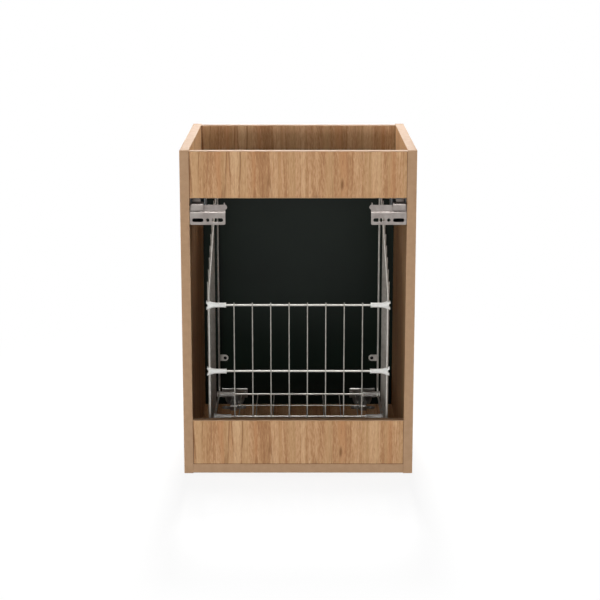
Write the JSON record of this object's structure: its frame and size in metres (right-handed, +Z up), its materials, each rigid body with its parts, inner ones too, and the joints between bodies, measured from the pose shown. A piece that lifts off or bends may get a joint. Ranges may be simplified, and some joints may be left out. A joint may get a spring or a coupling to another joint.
{
  "type": "laundry hamper cabinet",
  "caption": "Wall-hung laundry cabinet, open at the back and top, with a wire basket on a bottom-hinged tilt-out door and adjustable wall hangers.",
  "frame": {"origin": "under the middle of the closed cabinet, level with the feet of its side panels", "axes": "+X to the right seen from the wall, +Y from the wall to the door, +Z up"},
  "size_m": [0.4, 0.4, 0.57],
  "materials": {
    "wood_decor": "laminated oak decor, upright grain, satin",
    "tan_edge": "edge band, satin",
    "dark_board": "dark green-black lacquered board, satin",
    "dark_edge": "dark edge band, satin",
    "beech": "plain beech dowel",
    "zinc_steel": "zinc-plated pressed steel",
    "nickel_steel": "nickel-plated hinge steel",
    "wire_chrome": "satin chrome-plated wire",
    "white_plastic": "moulded nylon",
    "black_screw": "black-oxide steel",
    "clear_rubber": "clear soft bumper"
  },
  "bodies": {
    "carcass": {"bottom_panel": "wood_decor", "cam_bolts": "zinc_steel", "cam_housings": "zinc_steel", "carcass_dowels": "beech", "front_top_rail": "wood_decor", "hanger_adjusting_screws": "zinc_steel", "hanger_fixing_screws": "zinc_steel", "hinge_arm_screws": "nickel_steel", "hinge_plate_screws": "nickel_steel", "left_hanger_body": "zinc_steel", "left_hinge_arm": "nickel_steel", "left_hinge_plate": "nickel_steel", "left_side_panel": "wood_decor", "rail_edge_bands": "tan_edge", "rear_bottom_rail": "wood_decor", "rear_top_rail": "wood_decor", "right_hanger_body": "zinc_steel", "right_hinge_arm": "nickel_steel", "right_hinge_plate": "nickel_steel", "right_side_panel": "wood_decor", "side_edge_bands": "tan_edge"},
    "left_hook": {"left_hanger_hook": "zinc_steel", "left_wall_plate": "zinc_steel"},
    "right_hook": {"right_hanger_hook": "zinc_steel", "right_wall_plate": "zinc_steel"},
    "door": {"basket_cross_wires": "wire_chrome", "basket_front_floor_rod": "wire_chrome", "basket_left_frame": "wire_chrome", "basket_left_wires": "wire_chrome", "basket_lower_rod": "wire_chrome", "basket_mesh_wires": "wire_chrome", "basket_middle_floor_rod": "wire_chrome", "basket_right_frame": "wire_chrome", "basket_right_wires": "wire_chrome", "basket_tab_screws": "black_screw", "basket_upper_rod": "wire_chrome", "door_bumpers": "clear_rubber", "door_edge_bands": "dark_edge", "door_panel": "dark_board", "front_floor_rod_left_connector": "white_plastic", "front_floor_rod_right_connector": "white_plastic", "hinge_cup_screws": "nickel_steel", "hinge_pins": "nickel_steel", "left_hinge_cup": "nickel_steel", "lower_left_tab": "wire_chrome", "lower_right_tab": "wire_chrome", "lower_rod_left_connector": "white_plastic", "lower_rod_right_connector": "white_plastic", "middle_floor_rod_left_connector": "white_plastic", "middle_floor_rod_right_connector": "white_plastic", "right_hinge_cup": "nickel_steel", "upper_left_tab": "wire_chrome", "upper_right_tab": "wire_chrome", "upper_rod_left_connector": "white_plastic", "upper_rod_right_connector": "white_plastic"}
  },
  "joints": [
    {"name": "door_tilt", "type": "hinge", "parent": "carcass", "child": "door", "pos_m": [0, 0.1906, 0.0135], "axis": [-1, 0, 0], "range_deg": [0, 45]},
    {"name": "left_hanger_lift", "type": "slide", "parent": "carcass", "child": "left_hook", "axis": [0, 0, 1], "range_m": [-0.006, 0.006]},
    {"name": "right_hanger_lift", "type": "slide", "parent": "carcass", "child": "right_hook", "axis": [0, 0, 1], "range_m": [-0.006, 0.006]}
  ]
}
